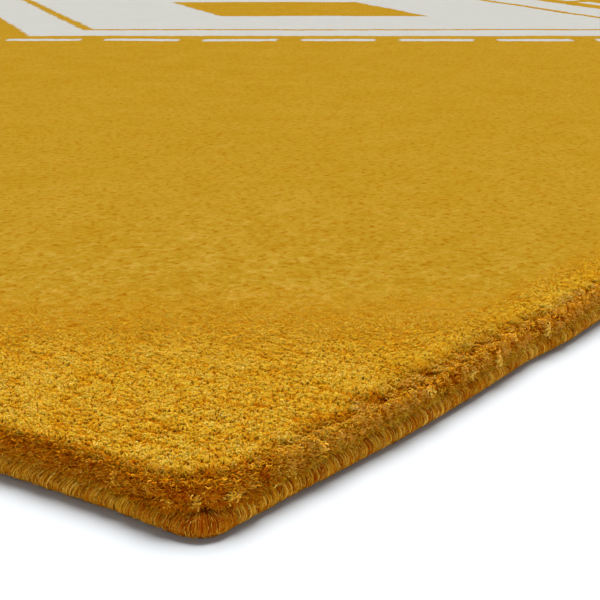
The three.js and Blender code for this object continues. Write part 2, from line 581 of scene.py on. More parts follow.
def make_field(material):
    """The rug's body: a fine net over its top, its rolled rim, and a flat underside."""
    sides = (LENGTH - 2 * PILE_CENTRE, WIDTH - 2 * PILE_CENTRE)
    across, upward = (graded(side, reach, *NET_STEPS) for side, reach in zip(sides, NET_REACH))
    columns, lines = len(across), len(upward)
    distances, faced = net_border(across, upward)
    rings, facings = zip(*rim_rings(distances))
    net = np.column_stack([
        np.repeat(across - across[-1] / 2, lines),
        np.tile(upward - upward[-1] / 2, columns),
        np.full(columns * lines, PILE_TOP),
    ])
    points = np.concatenate([*rings, strayed(net)])
    facing = np.concatenate([*facings, upwards(len(net))])
    share = lock_share(points)
    points = raised(points, facing, LOCK_SINK * share)
    points[:, 2] = np.maximum(points[:, 2], 0)
    side, warm, front = shaded_side(points, facing)
    # Painted light and shade: the ground is darker under the locks and on sides turned from the light,
    # darker in the creases and lighter on the clumps
    tones = 0.80 - 0.12 * share - side * (0.20 - 0.10 * front - 0.25 * clumps(points))
    # Painted reddish light from other wool, in the shade under the locks
    warm = np.maximum(warm, 0.7 * share)
    # Painted light and shade: the relief's small lumps are lighter and the hollows between them darker
    tones += detail_share(points) * 0.08 * noise(points, 3.4, 14)

    count = len(distances)
    first_net = len(rings) * count
    last_ring = first_net - count
    here = np.arange(count)
    after = (here + 1) % count
    inner = first_net + faced
    same = inner[here] == inner[after]
    join_quads = np.stack([last_ring + here, last_ring + after, inner[after], inner[here]], 1)[~same]
    join_corners = np.stack([last_ring + here, last_ring + after, inner[here]], 1)[same]
    low = first_net + np.arange(len(net)).reshape(columns, lines)[:-1, :-1].ravel()
    top = np.stack([low, low + lines, low + lines + 1, low + 1], 1)
    underside = here[::-1][None, :]
    faces = [ring_faces(len(rings), count), join_quads, join_corners, top, underside]
    return new_mesh("rug_field", points, faces, material, tone=tones, warm=warm, lively=liveliness(points))


def wedge_locks(name, material, root, lean, height, width, turn, tone, root_shade, warm, facing, form,
                tilt=0.0, faded=0.0):
    """Locks of wool, each a closed wedge: a short edge at its root and a crossed one at its tip.

    The light on a lock follows the pile's facing, because wool lets light through, and its own form only
    as much as form says. A share of the tone makes each root darker, as painted shade deep in the pile.
    That share, warm, form, tilt and faded may be single numbers, which all locks share.
    """
    count = len(root)
    shared = (root_shade, warm, form, tilt, faded)
    root_shade, warm, form, tilt, faded = (np.broadcast_to(value, count) for value in shared)
    lean = unit(lean)
    first = unit(np.cross(lean, [1.0, 0.0, 0.0]) + 1e-6)
    second = np.cross(lean, first)
    turn = turn[:, None]
    root_way = first * np.cos(turn) + second * np.sin(turn)
    tip_way = np.cross(lean, root_way)
    half = width[:, None] / 2
    slant = lean * tilt[:, None]
    tip = root + lean * height[:, None]
    points = np.stack([
        root + root_way * half,
        root - root_way * half,
        tip + tip_way * half + slant,
        tip - tip_way * half - slant,
    ], axis=1)
    faces = np.array([[0, 1, 2], [0, 3, 1], [0, 2, 3], [1, 3, 2]])
    faces = (np.arange(count)[:, None, None] * 4 + faces).reshape(-1, 3)
    tones = np.stack([tone * root_shade, tone * root_shade, tone, tone * 0.93], axis=1)
    ways = np.stack([root_way, -root_way, tip_way, -tip_way], axis=1)
    normals = unit(facing[:, None] + ways * form[:, None, None])
    return new_mesh(name, points.reshape(-1, 3), [faces], material, normals=normals.reshape(-1, 3),
                    tone=tones, warm=np.repeat(warm, 4), faded=np.repeat(faded, 4))


def tuft_gaps(points):
    """For each point the way to the middle of its tuft, and from 0 to 1 how deep it lies in a gap between
    tufts and how bright its tuft is."""
    way, border, brightness, openness = cells(points[:, :2] / TUFT_PITCH, 21)
    gap = smooth_step(openness, 0.45, 0.85) * np.exp(-(border * TUFT_PITCH / 0.62) ** 2)
    return way * TUFT_PITCH, gap, brightness


def corner_foot_shade(points):
    """How much painted shade darkens the pile towards its foot, round the near corner."""
    _, distance = near_rim(points)
    corner = 1 - smooth_step(np.abs(distance - 18), 18, 45)
    return corner * (0.04 + 0.26 * (1 - smooth_step(points[:, 2], 4.5, 9.0)))


def random_locks(rng, points, rising, facing, share, height):
    """Locks on points of the smooth pile, with the lean, size and tone that wool has where facing points,
    the tone with painted light and shade. The pile's relief moves the points along rising."""
    count = len(points)
    roots = raised(points, rising, LOCK_SINK * share)
    to_middle, gap, tuft_tone = tuft_gaps(points)
    lively = liveliness(points)
    up = np.clip(facing[:, 2], -1, 1)
    row = noise(points[:, :2] / ROW_HOLLOW, 1.0, 17)
    hollow = smooth_step(-row, 0.0, 0.7) * lively * np.clip(up, 0, 1)
    gap = gap * lively
    side, warm, front = shaded_side(points, facing)
    # Painted reddish light from other wool, in the shade of gaps and hollows
    warm = np.clip(warm + 0.5 * np.maximum(gap, hollow), 0, 1)

    # The locks of a tuft lean together, and those in the gaps between tufts and in hollow rows are shorter
    lean = facing + rng.normal(0, 0.17, (count, 3)) * (0.3 + 0.7 * lively)[:, None]
    lean[:, :2] += to_middle * 0.10 * facing[:, 2:]
    cut = height * share * (0.4 + 0.6 * lively) - (0.60 * gap + 0.40 * hollow) * np.clip(up, 0, 1)
    cut += rng.normal(0, 0.16, count) * lively

    # Each tuft and each lock has a tone of its own, and painted shade makes gaps, hollows and sides darker,
    # while painted light makes clumps lighter
    tone = 0.82 + (0.14 * (tuft_tone - 0.5) + rng.normal(0, 0.105, count)) * lively - 0.08 * (1 - share)
    # Painted shade: further from the corner, locks are darker in place of the shadow that rougher locks
    # cast
    tone -= 0.22 * (1 - lively) * share
    tone += 0.06 * noise(points, 14, 31) - 0.20 * gap - 0.20 * hollow
    # Painted shade: sides turned from the light are darker, most in a band under the top edge on the left
    # side and at the foot round the corner
    upper = smooth_step(points[:, 2], 7.0, 12.0) * (1 - smooth_step(up, 0.7, 0.95)) * (1 - front)
    tone += side * (-0.12 + 0.09 * front - 0.14 * upper - corner_foot_shade(points))
    # Painted shade in the creases between clumps, and painted light on the clumps
    tone += (0.3 + 0.7 * side) * (0.34 + 0.66 * front) * clumps(points)
    tone += side * (rng.normal(0, 1, count) * (0.10 + 0.05 * front) - 0.05 * front)
    # Painted highlights: a few bright tips on the sides
    tone += (rng.random(count) < 0.08) * side * (0.20 + 0.12 * front)
    # Roots are painted darker, as shade deep in the pile, most near the corner
    return dict(
        root=roots - facing * 0.45, lean=lean, height=np.maximum(cut, 0.15) + 0.45,
        width=rng.uniform(0.40, 0.72, count) + 0.24 * (1 - lively), turn=rng.uniform(0, math.pi, count),
        tilt=rng.normal(0, 0.10, count), tone=np.clip(tone, 0.06, 1.25), root_shade=0.80 - 0.38 * lively,
        warm=warm, faded=1 - lively, facing=facing, form=0.25 + 0.85 * side,
    )


def scattered_top(rng):
    """Roots on the level top of the pile, near the camera's corner."""
    reach = np.array([FRONT_REACH, LOCK_END * 1.5])
    count = int(reach[0] * reach[1] * LOCKS_PER_SQUARE_MM)
    from_corner = ROLL_INSET + rng.random((count, 2)) * reach
    inside = PILE_CENTRE - from_corner
    rounded = (inside > 0).all(axis=1) & (np.hypot(*inside.T) > PILE_CENTRE - ROLL_INSET)
    points = np.column_stack([NEAR_CORNER + from_corner, np.full(count, PILE_TOP)])
    points = strayed(points)
    share = lock_share(points)
    thinned = share ** 0.8 * (1 - 0.3 * smooth_step(depth_of(points), 80, 150))
    kept = (rng.random(count) < thinned) & ~rounded
    return points[kept], share[kept]


def near_distances(rng, centre, count):
    """Random distances along the part of both sides that the camera sees from near by."""
    return rng.uniform(-LEFT_REACH, centre * math.pi / 2 + FRONT_REACH, count)


def scattered_roll(rng):
    """Roots on the rolled rim, along the part of both sides that the camera sees, evenly over its girth."""
    span = LEFT_REACH + FRONT_REACH + PILE_ARC
    angles = np.linspace(ROLL_ANGLES[0], ROLL_ANGLES[-1], 305)
    inset, height, _ = roll_profile(angles, np.full(len(angles), 60.0))
    girth = np.concatenate([[0], np.cumsum(np.hypot(np.diff(inset), np.diff(height)))])
    count = int(span * girth[-1] * RIM_LOCKS_PER_SQUARE_MM)
    angle = np.interp(rng.uniform(0, girth[-1], count), girth, angles)
    return angle, near_distances(rng, PILE_CENTRE, count)


def make_locks(rng, material):
    """The pile's locks, in pieces of at most LOCKS_A_PIECE."""
    top, share = scattered_top(rng)
    leaning = upwards(len(top))
    _, distance = near_rim(top)
    leaning[:, :2] += rim_at(distance, PILE_CENTRE)[1] * splay(top)[:, None] * 0.9
    top_locks = random_locks(rng, top, upwards(len(top)), unit(leaning), share, LOCK_SINK + 0.25)
    angle, distance = scattered_roll(rng)
    roll, rising = roll_points(angle, distance)
    outward = np.column_stack([rim_at(distance, PILE_CENTRE)[1], np.zeros(len(roll))])
    facing = unit(rising + 0.9 * outward * (splay(roll) * smooth_step(angle, 25, 85))[:, None])
    roll_locks = random_locks(rng, roll, rising, facing, lock_share(roll), LOCK_SINK + 0.15)
    joined = {key: np.concatenate([top_locks[key], roll_locks[key]]) for key in top_locks}
    order = np.argsort(depth_of(joined["root"]))
    pieces = []
    for start in range(0, len(order), LOCKS_A_PIECE):
        chosen = order[start:start + LOCKS_A_PIECE]
        part = {key: values[chosen] for key, values in joined.items()}
        pieces.append(wedge_locks(f"pile_locks_{len(pieces) + 1}", material, **part))
    return pieces


def make_skirt(rng, material):
    """Hairs at the foot of the rolled rim, which hang down over the overcast edge and hide the groove."""
    corner_count = 2200
    count = 7000
    corner_distances = rng.uniform(-25, 55, corner_count)
    distance = np.concatenate([corner_distances, near_distances(rng, PILE_CENTRE, count - corner_count)])
    roots, facing = roll_points(rng.uniform(ROLL_ANGLES[0], -10, count), distance)
    _, outward = rim_at(distance, PILE_CENTRE)
    lean = np.column_stack([outward * rng.uniform(0.4, 1.2, (count, 1)), -rng.uniform(0.1, 0.9, count)])
    lean += rng.normal(0, 0.35, (count, 3))
    # Painted light and shade: the hairs are darker in the creases, lighter on the clumps, darker at their
    # roots and at the foot round the corner, and redder on the left side and round the corner
    clump = clumps(roots)
    return wedge_locks(
        "pile_skirt", material, root=raised(roots, facing, CURL_SINK), lean=lean,
        height=rng.uniform(0.9, 2.2, count) * (1 + 0.45 * clump), width=rng.uniform(0.22, 0.55, count),
        turn=rng.uniform(0, math.pi, count), tilt=rng.normal(0, 0.2, count),
        tone=np.clip(0.64 + 0.22 * clump - corner_foot_shade(roots) + rng.normal(0, 0.18, count), 0.1, 1.15),
        root_shade=0.35, warm=0.8 - 0.5 * smooth_step(distance, 20, 70), facing=facing, form=0.7,
    )


def bead(angle, swell):
    """The overcast edge's section at an angle in degrees from level, swollen outwards: inset and height."""
    turn = np.radians(angle)
    inset = BEAD_MIDDLE[0] - (BEAD_REACH[0] + swell) * np.cos(turn)
    height = BEAD_MIDDLE[1] + (BEAD_REACH[1] + swell) * np.sin(turn)
    return inset, height


def on_bead(distance, angle, swell):
    """Points on the overcast edge, and the way it faces there."""
    inset, height = bead(angle, swell)
    turn = np.radians(angle)
    _, outward = rim_at(distance, BINDING_CENTRE)
    facing = np.column_stack([outward * np.cos(turn)[:, None], np.sin(turn)])
    return rim_points(distance, BINDING_CENTRE, inset, height), facing


def side_span(index):
    """The distances along the edge's own rim between which a side's overcasting runs."""
    start = BINDING_ARC / 2
    for side in SIDES[:index]:
        start += side["length"] - 2 * BINDING_CENTRE + BINDING_ARC
    end = start + SIDES[index]["length"] - 2 * BINDING_CENTRE + BINDING_ARC
    return start + RUN_CLEARANCE, end - RUN_CLEARANCE


def bundle_swell(distance):
    """How far the wound yarn bulges at distances along the rim, a hump for each bundle of strands."""
    place = distance / BUNDLE_LENGTH + 0.25 * noise(np.asarray(distance)[:, None], BUNDLE_LENGTH * 1.7, 51)
    within = place - np.floor(place)
    return 0.34 * np.sin(math.pi * within) ** 0.7 - 0.28


def make_bead(index, material):
    """One side's overcast edge as a bead with a hump for each bundle of yarn."""
    first, last = side_span(index)
    steps = int((last - first) / (BUNDLE_LENGTH / 3))
    distance = np.linspace(first, last, steps)
    near = near_strands(distance)
    swell = bundle_swell(distance) - 0.75 * near
    rings = []
    for angle in BEAD_ANGLES:
        inset, height = bead(np.full(steps, angle), swell - 0.08)
        rings.append(rim_points(distance, BINDING_CENTRE, inset, np.maximum(height, 0.02)))
    floor_inset, _ = bead(BEAD_ANGLES[-1], -0.1)
    for inset in (floor_inset + 1.2, BINDING_WIDTH - 0.05):
        rings.append(rim_points(distance, BINDING_CENTRE, np.full(steps, inset), 0.0))
    points = np.stack(rings, axis=1)
    count = points.shape[1]
    first_end = np.arange(count)[None, :]
    last_end = ((steps - 1) * count + np.arange(count))[None, ::-1]
    faces = [ring_faces(steps, count)[:, ::-1], first_end, last_end]
    # Painted shade: the bead is darker where single strands cover it, for it shows only in the gaps between
    # them
    tones = np.repeat(0.55 - 0.20 * near, count)
    leaned = np.array([STRAND_LEANS[-1][1] * angle / 150 for angle in BEAD_ANGLES] + [0, 0])
    wound = distance[:, None] - leaned[None, :]
    return new_mesh(f"overcast_edge_{SIDES[index]['name']}", points.reshape(-1, 3), faces, material,
                    tone=tones, warm=np.full(len(tones), 0.3), wound=wound)


def near_strands(distance):
    """1 along the part of the edge that is wound with single strands, and 0 beyond it."""
    signed = near_distance(distance, BINDING_CENTRE)
    end = BINDING_ARC + FRONT_REACH
    return between(signed, (-LEFT_REACH - STRAND_FADE, -LEFT_REACH), (end, end + STRAND_FADE))


def tubes(name, paths, facing, radii, material, tones, sides=5, shaded=0.0, warm=0.3):
    """Closed tubes along paths. facing points away from what the tube lies on, radii are (half width, half
    thickness) at each ring, tones are one for each ring, and shaded is how much darker the far side is, as
    painted shade."""
    count, rings = paths.shape[:2]
    forward = unit(np.gradient(paths, axis=1))
    aside = unit(np.cross(forward, facing))
    lifted = np.cross(aside, forward)
    turn = (np.arange(sides) / sides + 0.25) * 2 * math.pi
    around = (aside[:, :, None] * (np.cos(turn)[:, None] * radii[..., None, None, 0])
              + lifted[:, :, None] * (np.sin(turn)[:, None] * radii[..., None, None, 1]))
    points = (paths[:, :, None] + around).reshape(-1, 3)
    start = np.arange(count)[:, None, None] * rings * sides
    skin = (start + ring_faces(rings, sides)[None]).reshape(-1, 4)
    first = (start[:, 0] + np.arange(sides)[None, ::-1])
    last = (start[:, 0] + (rings - 1) * sides + np.arange(sides)[None])
    shade = tones.reshape(count * rings, 1) - shaded * (1 - np.sin(turn))[None, :] / 2
    warmth = np.repeat(np.broadcast_to(warm, count), rings * sides)
    return new_mesh(name, points, [skin, first, last], material, tone=shade, warm=warmth)


def make_strands(rng, material):
    """Single strands of yarn wound over the edge where the camera sees it from near by, in bundles."""
    paths, facings, radii, tones = [], [], [], []
    share = (STRAND_ANGLES - STRAND_ANGLES[-1]) / (STRAND_ANGLES[0] - STRAND_ANGLES[-1])
    middle = -LEFT_REACH
    while middle < BINDING_ARC + FRONT_REACH:
        length = BUNDLE_LENGTH * rng.uniform(0.75, 1.25)
        middle += length / 2
        front = smooth_step(middle, 0, 25)
        bundle_tone = rng.uniform(-0.08, 0.08) * (1 + 2.4 * front)
        corner = 1 - smooth_step(abs(middle - BINDING_ARC / 2), 4, 22)
        count = int(round(length / STRAND_PITCH * (1 + 0.3 * corner)))
        pinch = rng.uniform(0.60, 0.85) + 0.15 * np.maximum(front, corner)
        lean = looked_up(middle, STRAND_LEANS) * rng.uniform(0.7, 1.3)
        for place in (np.arange(count) + 0.5) / count * 2 - 1:
            spread = 1.08 - (1.08 - pinch) * share ** 2.2
            along = middle + place * length / 2 * spread + lean * (share ** 1.3 - 0.5)
            along = along + rng.normal(0, 0.14) + 0.16 * np.sin(share * 5 + rng.uniform(0, 6.3))
            swell = -0.28 + 0.30 * (1 - place ** 2) + rng.normal(0, 0.07)
            dip = 0.55 * place ** 4 * smooth_step(share, 0.55, 0.95)
            path, facing = on_bead(along, STRAND_ANGLES, swell - dip)
            path[:, 2] = np.maximum(path[:, 2], STRAND_RADIUS[1] + 0.05)
            paths.append(path)
            facings.append(facing)
            size = rng.uniform(0.72, 1.1)
            radii.append(np.array(STRAND_RADIUS) * size * np.ones((len(share), 1)))
            tone = 0.70 + 0.02 * front - 0.40 * corner + bundle_tone + rng.normal(0, 0.14 + 0.16 * front)
            # Painted shade: strands at a bundle's ends are darker, in the crevices between bundles, and
            # each strand is darker towards its top, under the pile
            tone -= (0.18 + 0.26 * front) * abs(place) ** 5
            upper = 0.25 + 0.20 * front + 0.20 * corner
            tones.append(np.clip(tone * (1 - upper * share ** (4 - 2 * corner)), 0.1, 1))
        middle += length / 2
    return tubes("edge_strands", np.array(paths), np.array(facings), np.array(radii), material,
                 np.array(tones), shaded=0.50)


def make_edge_fuzz(rng, material):
    """Short straight hairs that lie over the wound yarn, roughly along it."""
    count = 13000
    distance = near_distances(rng, BINDING_CENTRE, count)
    angle = rng.uniform(-50, 118, count)
    places, facing = on_bead(distance, angle, rng.uniform(-0.10, 0.22, count))
    _, outward = rim_at(distance, BINDING_CENTRE)
    turn = np.radians(angle)
    inwards = -outward * np.sin(turn)[:, None] * BEAD_REACH[0]
    climb = np.column_stack([inwards, np.cos(turn) * BEAD_REACH[1]])
    rim_way = np.column_stack([-outward[:, 1], outward[:, 0], np.zeros(count)])
    slant = looked_up(distance, STRAND_LEANS) / 8.5
    lean = unit(climb) + rim_way * (slant + rng.normal(0, 0.16, count))[:, None]
    lean += facing * rng.normal(0.05, 0.14, count)[:, None]
    size = rng.uniform(0.9, 2.1, count)
    places[:, 2] = np.maximum(places[:, 2], 0.3)
    roots = places - unit(lean) * size[:, None] / 2
    roots[:, 2] = np.maximum(roots[:, 2], 0.15)
    width = rng.uniform(0.09, 0.20, count)
    turn = rng.uniform(0, math.pi, count)
    dark = rng.random(count) < 0.45
    tone = np.where(dark, rng.normal(0.38, 0.10, count), rng.normal(0.90, 0.14, count))
    return wedge_locks("edge_fuzz", material, root=roots, lean=lean, height=size, width=width, turn=turn,
                       tone=tone, root_shade=0.8, warm=0.3, facing=facing, form=0.5)


def curled(rng, roots, ways, length, rings, fall, curl):
    """Curving paths from roots along ways, each turning about an axis of its own, and falling."""
    count = len(roots)
    step = (length / (rings - 1))[:, None]
    way = unit(ways + rng.normal(0, 0.3, (count, 3)))
    axis = unit(rng.normal(0, 1, (count, 3)))
    path = [roots]
    for _ in range(rings - 1):
        path.append(path[-1] + way * step)
        way = unit(way + np.cross(axis, way) * curl - np.array([0, 0, fall]))
    return np.stack(path, axis=1)


def wisps(name, paths, size, thin, lowest, tones, material, **how):
    """Tubes of a size at their roots along curled paths, which thin out to a share of it at their tips. No
    path goes lower than lowest."""
    taper = np.linspace(1.0, thin, paths.shape[1])[None, :, None]
    paths[..., 2] = np.maximum(paths[..., 2], lowest)
    lifted = np.broadcast_to(np.array([0.1, 0.2, 1.0]), paths.shape)
    return tubes(name, paths, lifted, size * taper * np.ones((1, 1, 2)), material, tones, **how)


def make_yarn_ends(rng, material):
    """Thick curly ends of yarn that stick out of the rolled rim, mostly along the front."""
    front_distances = rng.uniform(2, PILE_ARC + FRONT_REACH, 260)
    distance = np.concatenate([front_distances, rng.uniform(-LEFT_REACH, 0, 40)])
    count = len(distance)
    rings = 7
    roots, facing = roll_points(rng.uniform(-58, 60, count), distance)
    roots = roots - facing * 0.9
    paths = curled(rng, roots, facing, rng.uniform(1.5, 2.6, count), rings, fall=0.10, curl=0.9)
    size = rng.uniform(0.14, 0.24, (count, 1, 1))
    # Each end is darker at its root, as painted shade in the pile
    tones = np.linspace(0.50, 0.90, rings) * rng.uniform(0.7, 1.15, (count, 1))
    return wisps("pile_yarn_ends", paths, size, 0.7, 0.5, tones, material, sides=4)


def make_curls(rng, material):
    """Fine curled ends of wool all over the rolled rim, closest together near the corner."""
    stretches = [(-LEFT_REACH, -10, 900), (-10, 75, 1700), (75, PILE_ARC + FRONT_REACH, 1800)]
    distance = np.concatenate([rng.uniform(*stretch) for stretch in stretches])
    count = len(distance)
    rings = 5
    roots, facing = roll_points(rng.uniform(-60, 76, count), distance)
    roots = raised(roots, facing, CURL_SINK)
    paths = curled(rng, roots, facing, rng.uniform(1.1, 2.0, count), rings, fall=0.12, curl=1.1)
    thick = 0.10 + 0.05 * smooth_step(distance, 60, 200)
    size = (thick * rng.uniform(0.85, 1.25, count))[:, None, None]
    front = smooth_step(distance, 5, 60)
    # Painted shade: each curl is darker at its root and at the foot round the corner, and redder on the
    # left side and round the corner
    tones = np.linspace(0.35, 0.9, rings) * rng.uniform(0.65, 1.1, (count, 1))
    tones = tones + (0.09 * front - 0.03 - corner_foot_shade(roots))[:, None]
    warm = 0.9 - 0.7 * front
    return wisps("pile_curls", paths, size, 0.8, 0.5, tones, material, sides=3, warm=warm)


def make_tufts(rng, material):
    """Small curly tufts that have come loose from the rim."""
    paths, sizes, tones = [], [], []
    count = 26
    rings = 6
    for distance, angle, length, tone in LOOSE_TUFTS:
        places = distance + rng.normal(0, 0.6, count)
        roots, facing = roll_points(angle + rng.normal(0, 9, count), places)
        roots = raised(roots, facing, TUFT_SINK)
        reach = length * rng.uniform(0.7, 1.2, count)
        paths.append(curled(rng, roots, facing, reach, rings, fall=0.16, curl=0.9))
        sizes.append(rng.uniform(0.20, 0.32, (count, 1, 1)))
        # Each tuft is darker at its root, as painted shade in the pile
        tones.append(np.linspace(0.6, 1.0, rings) * (tone + rng.normal(0, 0.1, (count, 1))))
    paths, sizes, tones = np.concatenate(paths), np.concatenate(sizes), np.concatenate(tones)
    return wisps("pile_tufts", paths, sizes, 0.75, 0.4, tones, material, sides=4, warm=0.35)


def make_fibres(rng, material):
    """Thin loose fibres that stand out of the rim and the overcast edge."""
    rim_count = 500
    edge_count = 900
    rings = 5
    distance = near_distances(rng, PILE_CENTRE, rim_count)
    roots, facing = roll_points(rng.uniform(ROLL_ANGLES[0], 80, rim_count), distance)
    roots = roots - facing * 0.6
    distance = near_distances(rng, BINDING_CENTRE, edge_count)
    edge_roots, edge_facing = on_bead(distance, rng.uniform(-45, 75, edge_count), -0.3)
    roots = np.concatenate([roots, edge_roots])
    facing = np.concatenate([facing, edge_facing])
    length = np.concatenate([rng.uniform(0.9, 2.2, rim_count), rng.uniform(0.6, 1.5, edge_count)])
    paths = curled(rng, roots, facing, length, rings, fall=0.05, curl=0.5)
    size = rng.uniform(0.045, 0.085, (len(roots), 1, 1))
    tones = np.ones(rings) * rng.uniform(0.55, 1.15, (len(roots), 1))
    return wisps("loose_fibres", paths, size, 0.5, 0.12, tones, material, sides=3)


class Nodes:
    """A short way to build a material's nodes."""

    def __init__(self, name):
        self.material = bpy.data.materials.new(name)
        self.material.use_nodes = True
        self.tree = self.material.node_tree
        self.shader = self.tree.nodes["Principled BSDF"]

    def add(self, kind, settings=(), inputs=(), output=0):
        """A new node with its settings and inputs, which are values or other nodes' outputs."""
        node = self.tree.nodes.new(kind)
        for key, value in dict(settings).items():
            setattr(node, key, value)
        for key, value in dict(inputs).items():
            self.put(node.inputs[key], value)
        return node.outputs[output]

    def put(self, socket, value):
        if isinstance(value, bpy.types.NodeSocket):
            self.tree.links.new(value, socket)
        else:
            socket.default_value = value

    def math(self, operation, *values):
        return self.add("ShaderNodeMath", {"operation": operation}, enumerate(values))

    def object_place(self):
        return self.add("ShaderNodeTexCoord", output="Object")

    def attribute(self, name):
        """A number that each point of the mesh carries."""
        return self.add("ShaderNodeAttribute", {"attribute_name": name}, output="Fac")

    def noise(self, place, size, detail=2.0, roughness=0.5):
        """Noise from 0 to 1 in lumps of about the given size."""
        inputs = {"Vector": place, "Scale": 1 / (size * MM), "Detail": detail, "Roughness": roughness}
        return self.add("ShaderNodeTexNoise", inputs=inputs)

    def varied(self, value, part, strength):
        """A value raised where part is over a half and lowered where it is under, by a strength."""
        return self.math("ADD", value, self.math("MULTIPLY", self.math("SUBTRACT", part, 0.5), strength))

    def ramp(self, value, stops):
        """A colour ramp with stops of (place, colour)."""
        node = self.tree.nodes.new("ShaderNodeValToRGB")
        for extra in range(len(stops) - 2):
            node.color_ramp.elements.new(0.5)
        for element, (place, color) in zip(node.color_ramp.elements, stops):
            element.position = place
            element.color = (*color, 1)
        self.put(node.inputs[0], value)
        return node.outputs[0]

    def patches(self, part, low, high):
        """White where part is over high, black where it is under low."""
        return self.ramp(part, [(low, (0, 0, 0)), (high, (1, 1, 1))])

    def mix(self, share, first, second, blend="MIX"):
        node = self.tree.nodes.new("ShaderNodeMix")
        node.data_type = "RGBA"
        node.blend_type = blend
        for place, value in ((0, share), (6, first), (7, second)):
            self.put(node.inputs[place], (*value, 1) if isinstance(value, tuple) else value)
        return node.outputs[2]

    def scaled(self, color, value):
        """A colour made brighter or darker by a value."""
        return self.add("ShaderNodeVectorMath", {"operation": "SCALE"}, {0: color, "Scale": value})

    def window(self, value, low, high, soft):
        """1 where value lies between low and high, falling to 0 over soft."""
        ends = [{"Value": value, "From Min": end - soft, "From Max": end + soft} for end in (low, high)]
        rise, fall = (self.add("ShaderNodeMapRange", inputs=end) for end in ends)
        return self.math("SUBTRACT", rise, fall)

    def wool(self, color, bump_height, bump_size, strength):
        """Gives the shader a matt wool finish with a fine bump."""
        self.put(self.shader.inputs["Base Color"], color)
        self.shader.inputs["Roughness"].default_value = ROUGHNESS
        self.shader.inputs["Specular IOR Level"].default_value = 0.0
        inputs = {"Height": bump_height, "Distance": bump_size * MM, "Strength": strength}
        self.put(self.shader.inputs["Normal"], self.add("ShaderNodeBump", inputs=inputs))
        return self.material


def wool_color(nodes, place, tone):
    """The wool's colour for its tone, made redder by warm, which on the pile is painted reddish light from
    other wool in the shade, with patches where the dye is more orange or cooler.
    """
    color = nodes.mix(nodes.attribute("warm"), nodes.ramp(tone, WOOL_STOPS), WARM, "MULTIPLY")
    orange = nodes.patches(nodes.noise(place, 16, 3.0, 0.6), 0.55, 0.72)
    cool = nodes.patches(nodes.noise(place, 23, 3.0, 0.6), 0.52, 0.70)
    color = nodes.mix(nodes.math("MULTIPLY", orange, 0.25), color, ORANGE_DYE, "MULTIPLY")
    return nodes.mix(nodes.math("MULTIPLY", cool, 0.15), color, COOL_DYE, "MULTIPLY")


def design_share(nodes, place):
    """1 where the pile is cream."""
    parts = nodes.tree.nodes.new("ShaderNodeSeparateXYZ")
    nodes.put(parts.inputs[0], place)
    wide = nodes.math("ABSOLUTE", parts.outputs[0])
    deep = nodes.math("ABSOLUTE", parts.outputs[1])
    x, y = HEADING
    out = nodes.math("ADD", nodes.math("MULTIPLY", wide, x), nodes.math("MULTIPLY", deep, y))
    along = nodes.math("SUBTRACT", nodes.math("MULTIPLY", wide, y), nodes.math("MULTIPLY", deep, x))
    ragged = nodes.noise(place, 9, 3.0, 0.7)
    out = nodes.varied(out, ragged, DESIGN_RAGGED)
    along = nodes.varied(along, ragged, 0.6 * DESIGN_RAGGED)
    field = nodes.window(out, LOZENGE_MIDDLE, LOZENGE_HALF, DESIGN_SOFT)
    line = nodes.window(out, *LOZENGE_LINE, DESIGN_SOFT)
    dashes = nodes.window(out, *DASH_BAND, DESIGN_SOFT)
    broken = nodes.window(nodes.math("PINGPONG", along, DASH_PITCH / 2), DASH_GAP, 1.0, DESIGN_SOFT)
    field = nodes.math("MULTIPLY", field, nodes.math("SUBTRACT", 1.0, line))
    return nodes.math("ADD", field, nodes.math("MULTIPLY", dashes, broken))


def pile_material(name, shade, uneven, glow=0.0):
    """Wool with the design in it. Its colour is multiplied by shade, uneven is how strong its flecks are,
    which are painted light and shade where no lock makes them, and glow is how much light gets through."""
    nodes = Nodes(name)
    place = nodes.object_place()
    tone = nodes.attribute("tone")
    lively = nodes.attribute("lively")
    grain = nodes.noise(place, 0.55, 2.0, 0.6)
    # Painted light and shade: the gaps noise makes the tone lighter on tufts and darker between them, and
    # the flecks noise does so in larger patches where no lock makes them
    gaps = nodes.noise(place, 2.6, 4.0, 0.65)
    flecks = nodes.noise(place, 8.0, 3.0, 0.6)
    shades = nodes.noise(place, 26.0)
    gap_strength = nodes.math("MULTIPLY_ADD", lively, uneven, 0.20 + 0.05 * uneven)
    fleck_strength = nodes.math("MULTIPLY_ADD", lively, 0.3 * uneven, 0.15 * uneven)
    parts = ((grain, 0.28), (gaps, gap_strength), (flecks, fleck_strength), (shades, 0.12 * uneven))
    for part, strength in parts:
        tone = nodes.varied(tone, part, strength)
    color = wool_color(nodes, place, tone)
    # Painted shade: darker, more orange spots for the gaps between tufts, fainter on locks, which have real
    # gaps
    gap_shade_specks = nodes.patches(nodes.noise(place, 3.3, 2.0, 0.55), 0.54, 0.68)
    color = nodes.mix(nodes.math("MULTIPLY", gap_shade_specks, 0.3 + 0.7 * uneven), color, GAP_SHADE_SPECK, "MULTIPLY")
    color = nodes.mix(1.0, color, shade, "MULTIPLY")
    color = nodes.mix(nodes.attribute("faded"), color, FADED_SHADE, "MULTIPLY")
    cream = nodes.scaled(CREAM, nodes.math("ADD", 0.72, nodes.math("MULTIPLY", tone, 0.45)))
    color = nodes.mix(design_share(nodes, place), color, cream)
    height = nodes.math("ADD", grain, nodes.math("MULTIPLY", gaps, 1.4))
    nodes.shader.inputs["Subsurface Weight"].default_value = glow
    nodes.shader.inputs["Subsurface Radius"].default_value = GLOW_RADIUS
    nodes.shader.inputs["Subsurface Scale"].default_value = GLOW_DEPTH * MM
    return nodes.wool(color, height, 0.7, 0.5)


